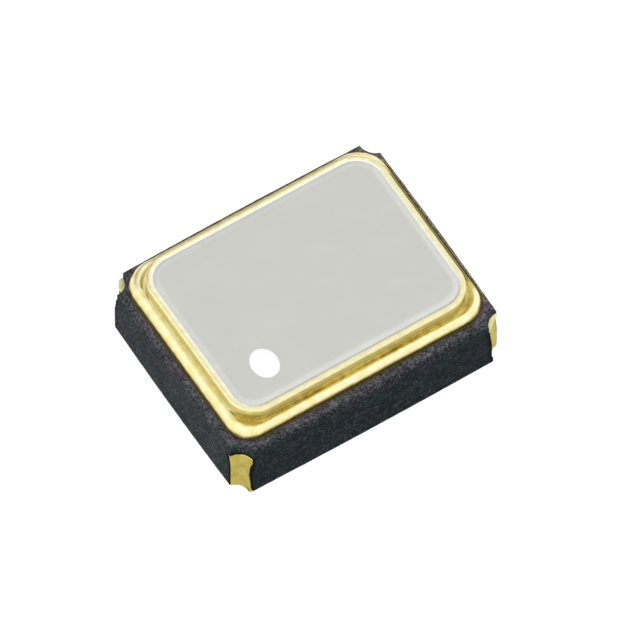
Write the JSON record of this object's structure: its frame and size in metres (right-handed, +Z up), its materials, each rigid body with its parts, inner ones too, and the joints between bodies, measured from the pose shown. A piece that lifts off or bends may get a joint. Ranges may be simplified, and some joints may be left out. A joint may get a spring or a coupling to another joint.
{
  "type": "crystal oscillator",
  "caption": "Surface-mount crystal oscillator: black ceramic body with gold-lined corner notches, a gold seal ring and a flat welded metal lid with a pin-one dot.",
  "frame": {"origin": "centre of the solder side, on the plane that the pads rest on", "axes": "+X along the long side, +Y along the short side, +Z up towards the lid; terminal 1 is at -X, -Y"},
  "size_m": [0.0024, 0.002, 0.0009],
  "materials": {
    "black_ceramic": "matte",
    "gold_plating": "satin",
    "nickel_plating": "satin",
    "braze": "satin",
    "quartz": "polished",
    "gold_film": "gloss",
    "silver_adhesive": "matte",
    "silicon": "polished"
  },
  "bodies": {
    "root": {"ceramic_base": "black_ceramic", "terminal_1": "gold_plating", "terminal_2": "gold_plating", "terminal_3": "gold_plating", "terminal_4": "gold_plating", "ring_braze": "braze", "seal_ring": "gold_plating", "lid": "nickel_plating", "quartz_blank": "quartz", "top_electrode": "gold_film", "bottom_electrode": "gold_film", "adhesive_dot_1": "silver_adhesive", "adhesive_dot_2": "silver_adhesive", "mount_pad_1": "gold_film", "mount_pad_2": "gold_film", "oscillator_die": "silicon", "die_bump_1": "gold_film", "die_bump_2": "gold_film", "die_bump_3": "gold_film", "die_bump_4": "gold_film", "die_bump_5": "gold_film", "die_bump_6": "gold_film", "die_land_1": "gold_film", "die_land_2": "gold_film", "die_land_3": "gold_film", "die_land_4": "gold_film", "die_land_5": "gold_film", "die_land_6": "gold_film"}
  },
  "joints": []
}
